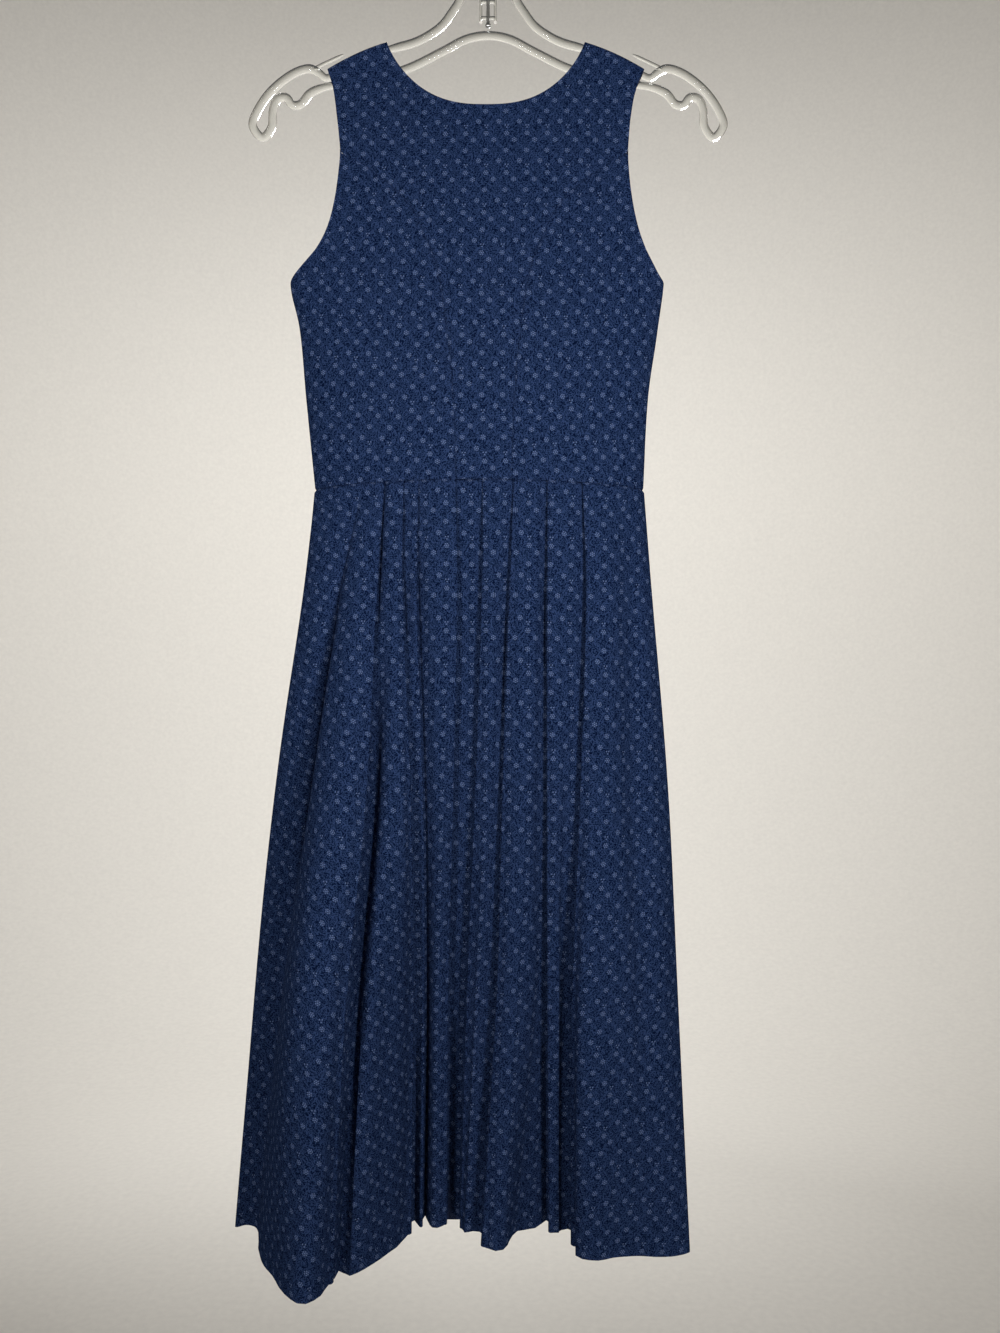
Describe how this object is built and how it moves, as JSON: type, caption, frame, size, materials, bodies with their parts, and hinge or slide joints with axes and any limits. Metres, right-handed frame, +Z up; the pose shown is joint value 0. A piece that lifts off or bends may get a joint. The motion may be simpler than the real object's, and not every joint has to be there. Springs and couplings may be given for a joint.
{
  "type": "dirndl dress on a clothes hanger",
  "caption": "Sleeveless navy calico-print dirndl with a scoop neck, princess seams and a knife-pleated skirt, back view, on a clear plastic hanger with a steel hook.",
  "frame": {"origin": "inside top of the hanger's hook, where a rail or peg carries it", "axes": "+Z up, along the hanging dress; +Y towards the front of the garment; +X towards the wearer's right. The picture looks along +Y at the garment's back."},
  "size_m": [0.4625, 0.1774, 1.2458],
  "materials": {
    "dress_cloth": "navy cotton calico with a small light blue flower print",
    "button_resin": "dark blue dished resin",
    "hanger_clear": "clear moulded plastic",
    "hook_steel": "bright plated wire"
  },
  "bodies": {
    "root": {"centre_back": "dress_cloth", "side_back_left": "dress_cloth", "side_back_right": "dress_cloth", "side_front_left": "dress_cloth", "side_front_right": "dress_cloth", "centre_front_left": "dress_cloth", "centre_front_right": "dress_cloth", "skirt_back": "dress_cloth", "skirt_front": "dress_cloth", "button_1": "button_resin", "button_2": "button_resin", "button_3": "button_resin", "button_4": "button_resin", "button_5": "button_resin", "button_6": "button_resin", "hanger_frame": "hanger_clear", "hanger_hook": "hook_steel"}
  },
  "joints": []
}
